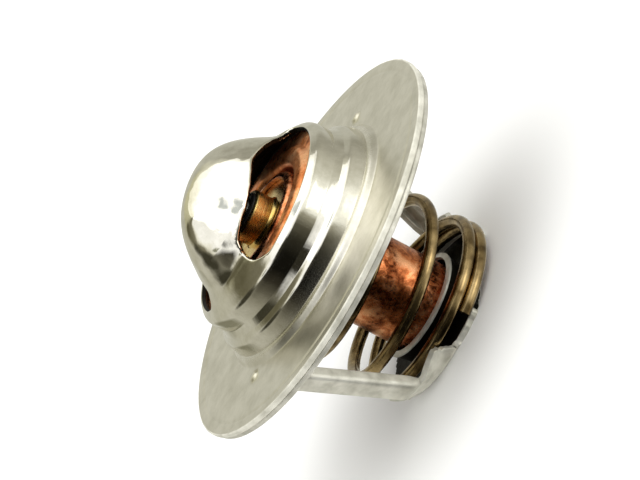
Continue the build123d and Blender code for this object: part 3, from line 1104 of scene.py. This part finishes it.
@dataclass
class WaxElement:
    """Cup, guide, wiper and the valve disc, which move together, and the piston that stays."""

    disc_sheet: float = 0.8
    disc_line: tuple[tuple[float, float], ...] = ((8.54, 6.75), (10.28, 6.75), (11.06, 6.1), (13.4, 6.1))
    hub_radius: float = 8.0
    cup_wall: float = 0.6
    cup_radius: float = 6.1
    cup_bottom: float = -20.5
    rim_radius: float = 7.4
    rim_floor: float = 4.5
    rim_top: float = 7.1
    guide_floor: float = 5.7
    guide_flange: float = 6.5
    guide_top: float = 9.3
    neck_radius: float = 3.4
    bore_radius: float = 2.0
    recess_radius: float = 2.9
    recess_depth: float = 1.0
    wiper_radius: float = 2.88
    wiper_rise: float = 0.3
    piston_radius: float = 1.95
    piston_bottom: float = -8.2
    piston_top: float = 16.64

    def disc(self) -> Skin:
        """The valve disc: hub under the cup's rim, raised land and a rim under the seat.

        Returns:
            The surface.
        """
        half = self.disc_sheet / 2
        hub = self.rim_floor - half
        corners = [(self.cup_radius + 0.12, hub), (self.hub_radius, hub), *self.disc_line]
        line = rounded(corners, [0.5, 0.6, 0.6, 0.5], 0.3)
        return thickened(turned(line, 240), self.disc_sheet, 0.1)

    def cup(self) -> Skin:
        """The copper cup with its rim rolled over the guide.

        Returns:
            The surface.
        """
        half = self.cup_wall / 2
        body, rim = self.cup_radius - half, self.rim_radius - half
        line = rounded([(0.0, self.cup_bottom + half), (body, self.cup_bottom + half),
                        (body, self.rim_floor + half), (rim, self.rim_floor + half),
                        (rim, self.rim_top - half), (6.4, self.rim_top - half)], [0.9, 0.45, 0.45, 0.6], 0.3)
        return thickened(turned(line, 200), self.cup_wall, 0.12)

    def guide(self) -> Skin:
        """The turned guide with its flange, neck and chamfer.

        Returns:
            The surface.
        """
        wide = self.rim_radius - self.cup_wall - 0.02
        corners = [(self.bore_radius, self.guide_floor), (wide, self.guide_floor), (wide, self.guide_flange),
                   (self.neck_radius + 0.3, self.guide_flange), (self.neck_radius, self.guide_flange + 0.4),
                   (self.neck_radius, self.guide_top - 0.2), (self.neck_radius - 0.2, self.guide_top),
                   (self.recess_radius, self.guide_top),
                   (self.recess_radius, self.guide_top - self.recess_depth),
                   (self.bore_radius, self.guide_top - self.recess_depth)]
        bends = [0.03, 0.1, 0.1, 0.1, 0.2, 0.08, 0.08, 0.03, 0.03, 0.03]
        return turned(rounded(corners, bends, 0.25, True), 160, True)

    def wiper(self) -> Skin:
        """The rubber ring in the top of the guide.

        Returns:
            The surface.
        """
        low, high = self.guide_top - self.recess_depth, self.guide_top + self.wiper_rise
        inner, outer = self.bore_radius, self.wiper_radius
        corners = [(inner, low), (outer, low), (outer, high - 0.1), (2.3, high), (inner, high - 0.15)]
        return turned(rounded(corners, [0.03, 0.03, 0.25, 0.2, 0.05], 0.2, True), 120, True)

    def piston(self) -> Skin:
        """The steel pin with its rounded tip.

        Returns:
            The surface.
        """
        wide = self.piston_radius
        corners = [(0.0, self.piston_bottom), (wide, self.piston_bottom), (wide, self.piston_top),
                   (0.0, self.piston_top)]
        return turned(rounded(corners, [0.3, 1.0], 0.5), 120)

    def build(self, copper: bpy.types.Material, plate: bpy.types.Material, brass: bpy.types.Material,
              rubber: bpy.types.Material, steel: bpy.types.Material) -> None:
        """Make the element's pieces.

        Args:
            copper: Finish of the cup.
            plate: Finish of the valve disc.
            brass: Finish of the guide.
            rubber: Finish of the wiper and the boot.
            steel: Finish of the piston.
        """
        placed("valve_plate", self.disc(), plate, Body.VALVE, "valve_disc")
        placed("element_cup", self.cup(), copper, Body.VALVE, "capsule_cup")
        placed("turned_guide", self.guide(), brass, Body.VALVE, "guide")
        placed("rubber_wiper", self.wiper(), rubber, Body.VALVE, "piston_wiper")
        placed("push_pin", self.piston(), steel, Body.FRAME, "piston")
        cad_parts["rubber_boot"].data.materials[0] = rubber
        # Wax cast with fine copper powder: dull brown, no shine.
        wax = CastPolymer("wax_with_copper_powder", "a9764a", "7d5230").build()
        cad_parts["wax_charge"].data.materials[0] = wax
        # Moulded fluoropolymer: plain white with a soft sheen.
        hard_ring = CastPolymer("white_fluoropolymer", "e9e8e2", "d8d7d0").build()
        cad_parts["anti_extrusion_washer"].data.materials[0] = hard_ring


@dataclass
class Studio:
    """Pale floor, soft surrounding light and the camera."""

    floor_height: float = -20.8
    floor_reach_m: float = 3.0
    floor_tone: str = "fbfbfa"
    white: str = "f4f4f2"
    strength: float = 1.3
    bands_meet: tuple[float, float] = (0.58, 0.72)
    card_edges: tuple[float, float] = (1.3, 0.7)
    key_place_m: tuple[float, float, float] = (-0.15, 0.25, 0.6)
    key_size_m: float = 0.8
    key_watts: float = 1.2
    distance: float = 450.0
    pixels_per_mm: float = 7.79
    image_width: float = 640.0
    origin_pixel: tuple[float, float] = (305.5, 245.5)
    image_middle: tuple[float, float] = (320.0, 240.0)
    azimuth: float = 39.0
    elevation: float = 16.3
    roll_right: tuple[float, float] = (0.463, -0.886)
    low_band: Sequence[tuple[float, str]] = (
        (-180, "b0afa4"), (-150, "bab9ae"), (-125, "b6b5aa"), (-100, "b0ae9f"), (-78, "b6b4a8"),
        (-58, "a8a699"), (-40, "868375"), (-25, "5a574b"), (-10, "2e2b23"), (5, "12110d"), (22, "12110d"),
        (40, "2c2a22"), (55, "545145"), (66, "9c998a"), (73, "fffff8"), (102, "fffff8"), (114, "d8d7cc"),
        (130, "bcbaad"), (152, "a4a296"), (168, "9a988c"), (180, "b0afa4"),
    )
    high_band: Sequence[tuple[float, str]] = (
        (-180, "dedcca"), (-165, "c4c1a6"), (-140, "c4c1a4"), (-110, "aeab90"), (-85, "807c66"),
        (-60, "6a6654"), (-42, "7a7664"), (-30, "e8e6da"), (-20, "ffffff"), (100, "ffffff"),
        (130, "f4f4ec"), (150, "ffffff"), (165, "e8e6d8"), (180, "d6d4c4"),
    )
    cards: Sequence[tuple[float, float, float, str, float]] = (
        (-52.0, 33.0, 15.0, "38362a", 1.0), (-84.0, 54.0, 11.0, "5c5844", 1.0),
        (96.0, 67.0, 6.0, "6c777b", 1.0), (-20.0, 51.0, 4.0, "8a8a78", 1.0),
        (22.0, 42.0, 14.0, "2a2820", 1.0), (-97.0, -14.0, 16.0, "7c7a68", 1.0),
        (88.0, -6.0, 13.0, "fffdf2", 2.4),
    )

    def camera(self) -> None:
        """Set the camera where the picture was taken from."""
        az, el = math.radians(self.azimuth), math.radians(self.elevation)
        side = Vector((-math.sin(az), math.cos(az), 0.0))
        toward = Vector((math.cos(az) * math.cos(el), math.sin(az) * math.cos(el), math.sin(el)))
        rise = toward.cross(side)
        across, down = self.roll_right
        right = side * across + rise * down
        up = rise * across - side * down
        data = bpy.data.cameras.new("camera")
        data.sensor_width = 36.0
        data.lens = self.pixels_per_mm * self.distance * data.sensor_width / self.image_width
        data.shift_x = (self.image_middle[0] - self.origin_pixel[0]) / self.image_width
        data.shift_y = (self.origin_pixel[1] - self.image_middle[1]) / self.image_width
        data.clip_start, data.clip_end = 0.01, 20.0
        camera = bpy.data.objects.new("camera", data)
        turn = Matrix((right, up, toward)).transposed().to_4x4()
        camera.matrix_world = Matrix.Translation(toward * self.distance * MM) @ turn
        bpy.context.scene.collection.objects.link(camera)
        bpy.context.scene.camera = camera

    def floor(self) -> None:
        """Lay the pale floor under the dish."""
        finish = bpy.data.materials.new("pale_floor")
        finish.use_nodes = True
        finish.node_tree.nodes.clear()
        paint = node(finish.node_tree, "ShaderNodeBsdfPrincipled",
                     {"Base Color": linear(self.floor_tone), "Roughness": 0.9})
        node(finish.node_tree, "ShaderNodeOutputMaterial", {"Surface": paint})
        mesh = bpy.data.meshes.new("floor")
        reach, low = self.floor_reach_m, self.floor_height * MM
        corners = [(-reach, -reach, low), (reach, -reach, low), (reach, reach, low), (-reach, reach, low)]
        mesh.from_pydata(corners, [], [(0, 1, 2, 3)])
        mesh.materials.append(finish)
        floor = bpy.data.objects.new("floor", mesh)
        floor.visible_glossy = False
        bpy.context.scene.collection.objects.link(floor)

    def surround(self) -> None:
        """White soft boxes with dark gaps between them, which the bright metal mirrors as bands."""
        world = bpy.data.worlds.new("studio")
        bpy.context.scene.world = world
        world.use_nodes = True
        world.node_tree.nodes.clear()
        add = partial(node, world.node_tree)
        way = add("ShaderNodeTexCoord").outputs["Generated"]
        parts = add("ShaderNodeSeparateXYZ", {0: way})
        turn = add("ShaderNodeMath", {0: parts.outputs[1], 1: parts.outputs[0]}, operation="ARCTAN2")
        share = add("ShaderNodeMath", {0: turn, 1: 1 / (2 * math.pi), 2: 0.5}, operation="MULTIPLY_ADD")
        around = []
        for band in (self.low_band, self.high_band):
            stops = [((azimuth + 180) / 360, tone) for azimuth, tone in band]
            around.append(add("ShaderNodeValToRGB", {0: share}, stops))
        low, high = self.bands_meet
        above = add("ShaderNodeMapRange", {"Value": parts.outputs[2], "From Min": low, "From Max": high})
        mirrored = add("ShaderNodeMix", {0: above, 6: around[0], 7: around[1]}, data_type="RGBA")
        for azimuth, elevation, radius, tone, gain in self.cards:
            az, el = math.radians(azimuth), math.radians(elevation)
            centre = (math.cos(az) * math.cos(el), math.sin(az) * math.cos(el), math.sin(el))
            near = add("ShaderNodeVectorMath", {0: way, 1: centre}, operation="DOT_PRODUCT")
            outer, inner = (math.cos(math.radians(radius * edge)) for edge in self.card_edges)
            cover = add("ShaderNodeMapRange", {
                "Value": near.outputs["Value"], "From Min": outer, "From Max": inner,
            })
            shine = tuple(gain * c for c in linear(tone))
            mirrored = add("ShaderNodeMix", {0: cover, 6: mirrored.outputs[2], 7: shine}, data_type="RGBA")
        rays = add("ShaderNodeLightPath")
        shown = add("ShaderNodeMix", {0: rays.outputs["Is Glossy Ray"], 6: linear(self.white),
                                      7: mirrored.outputs[2]}, data_type="RGBA")
        light = add("ShaderNodeBackground", {"Color": shown.outputs[2], "Strength": self.strength})
        add("ShaderNodeOutputWorld", {"Surface": light})

    def lamp(self, name: str, place: tuple[float, float, float], size: float, watts: float) -> None:
        """Add a soft square lamp aimed at the part.

        Args:
            name: The lamp's name.
            place: Where it hangs, in metres.
            size: Its side in metres.
            watts: Its power.
        """
        data = bpy.data.lights.new(name, "AREA")
        data.size = size
        data.energy = watts
        lamp = bpy.data.objects.new(name, data)
        aim = Vector(place).to_track_quat("Z", "Y").to_matrix().to_4x4()
        lamp.matrix_world = Matrix.Translation(place) @ aim
        bpy.context.scene.collection.objects.link(lamp)

    def build(self) -> None:
        """Set up the floor, the light and the camera."""
        bpy.context.scene.view_settings.view_transform = "Standard"
        self.camera()
        self.floor()
        self.surround()
        self.lamp("key", self.key_place_m, self.key_size_m, self.key_watts)


def main() -> None:
    """Build and dress every piece."""
    logging.basicConfig(level=logging.INFO)
    # Near-black, dull tinplate: painted shade on the pressing's inner faces and on the dish's upper face, so
    # the openings read as dark.
    painted_shade_finish = DullTinplate("painted_shade_tinplate", "211e18", "0c0b09", 0.5).build()
    # Sheared edge: matt, and pale as a painted highlight along the flange's rim.
    sheared = DullTinplate("sheared_edge_and_painted_highlight", "f2f0e4", "c4c2b4", 0.5, 0.35).build()
    UpperPressing().build(BrightTinplate().build(), painted_shade_finish, sheared)
    Cage().build(DullTinplate(metal=0.5).build(), painted_shade_finish)
    ReturnSpring().build(TemperedWire().build())
    # Brass off the lathe: yellow, with bright rings.
    brass = TurnedMetal("turned_brass", "ffe79c", "cf9f42", 0.24).build()
    # Ground steel pin: dark grey, with a finer grain than the brass.
    steel = TurnedMetal("ground_steel_pin", "8f8f8a", "5c5c58", 0.24, 0.1, 0.004).build()
    # Moulded nitrile rubber: black and nearly without shine.
    rubber = CastPolymer("moulded_nitrile_rubber", "232220", "141413", 0.55).build()
    # Copper plate rubbed by the coolant: brighter and more even than the cup.
    plate = AgedCopper("rubbed_copper_plate", "ffc08c", "e8935a", "c4703a", "80421e", 0.34,
                       metal=0.85).build()
    WaxElement().build(AgedCopper().build(), plate, brass, rubber, steel)
    Studio().build()


if __name__ == "__main__":
    main()
